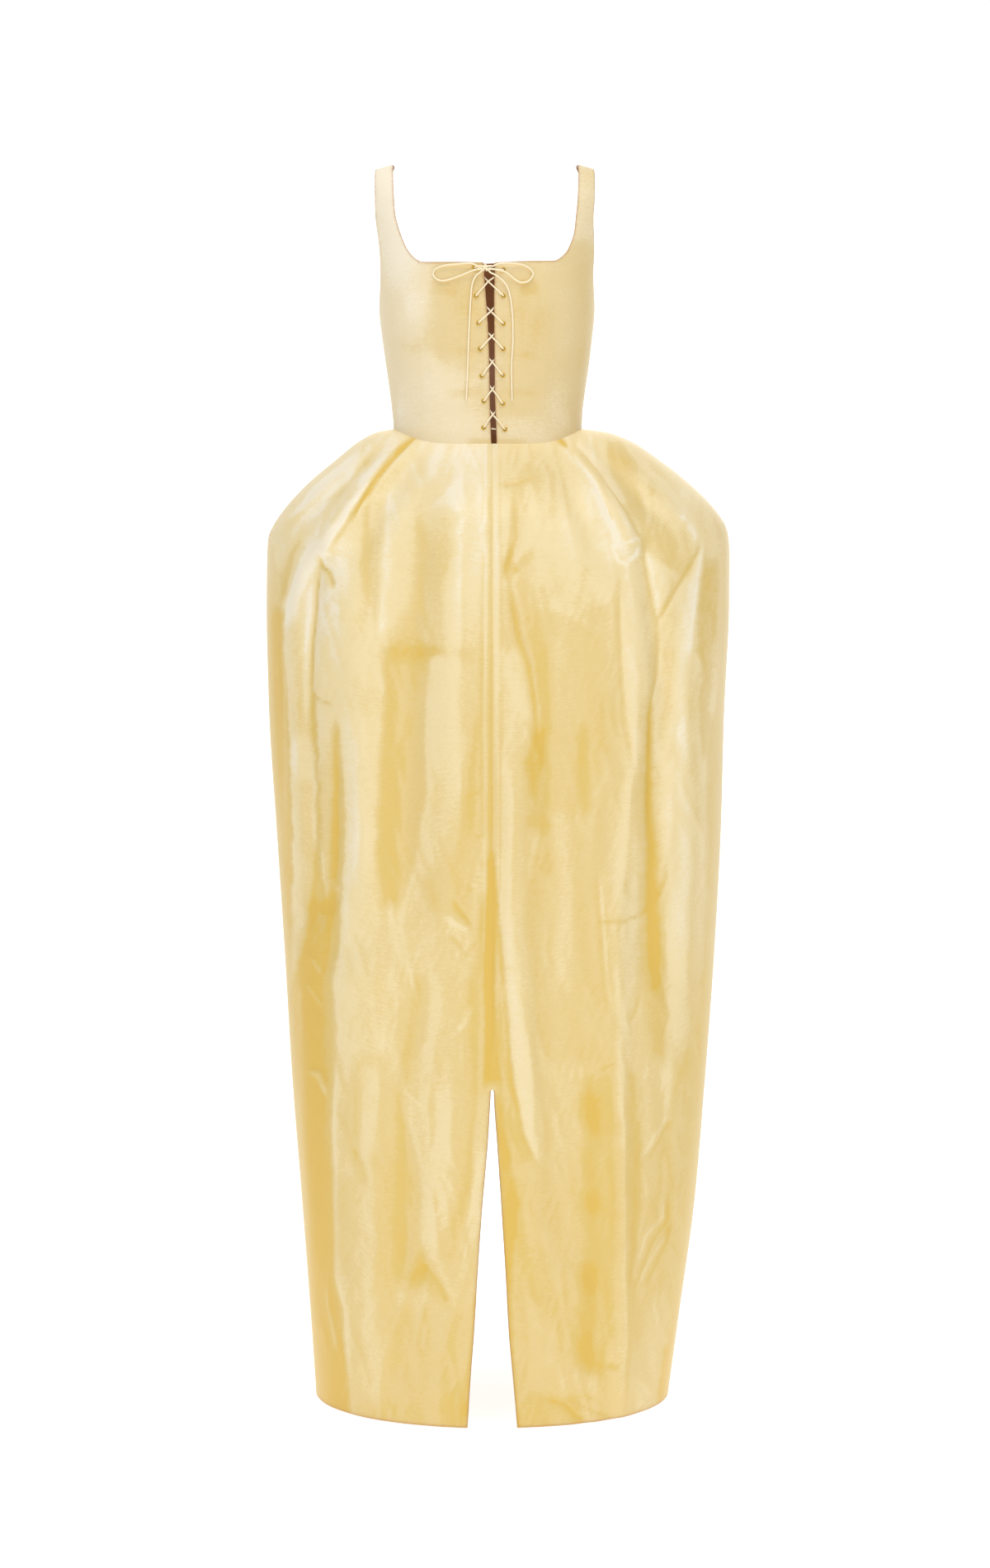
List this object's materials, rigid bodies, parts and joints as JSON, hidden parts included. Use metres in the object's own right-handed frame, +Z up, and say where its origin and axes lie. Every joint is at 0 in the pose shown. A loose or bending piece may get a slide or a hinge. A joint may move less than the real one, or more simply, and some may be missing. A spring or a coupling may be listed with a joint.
{
  "type": "evening gown",
  "caption": "Floor-length silk evening gown with a fitted sleeveless bodice laced up the back, a low square neckline and a full pleated skirt slit at the hem.",
  "frame": {"origin": "midway between the straps on the shoulder line, where the gown hangs from its wearer", "axes": "+Z up, the laced back faces -Y, +X is to the right as seen from behind"},
  "size_m": [0.5598, 0.4097, 1.48],
  "materials": {
    "bodice_silk": "pale butter yellow silk taffeta, soft sheen",
    "skirt_silk": "butter yellow silk taffeta with a crisp lustre",
    "lace": "round woven cord, pale cream",
    "brass": "polished"
  },
  "bodies": {
    "root": {"bodice_back_left": "bodice_silk", "bodice_back_right": "bodice_silk", "bodice_front": "bodice_silk", "skirt_back_left": "skirt_silk", "skirt_back_right": "skirt_silk", "skirt_front_left": "skirt_silk", "skirt_front_right": "skirt_silk", "eyelet_left_1": "brass", "eyelet_left_2": "brass", "eyelet_left_3": "brass", "eyelet_left_4": "brass", "eyelet_left_5": "brass", "eyelet_left_6": "brass", "eyelet_left_7": "brass", "eyelet_right_1": "brass", "eyelet_right_2": "brass", "eyelet_right_3": "brass", "eyelet_right_4": "brass", "eyelet_right_5": "brass", "eyelet_right_6": "brass", "eyelet_right_7": "brass", "lacing": "lace", "bow_knot": "lace", "bow_loop_left": "lace", "bow_loop_right": "lace", "lace_tail_left": "lace", "lace_tail_right": "lace"}
  },
  "joints": []
}
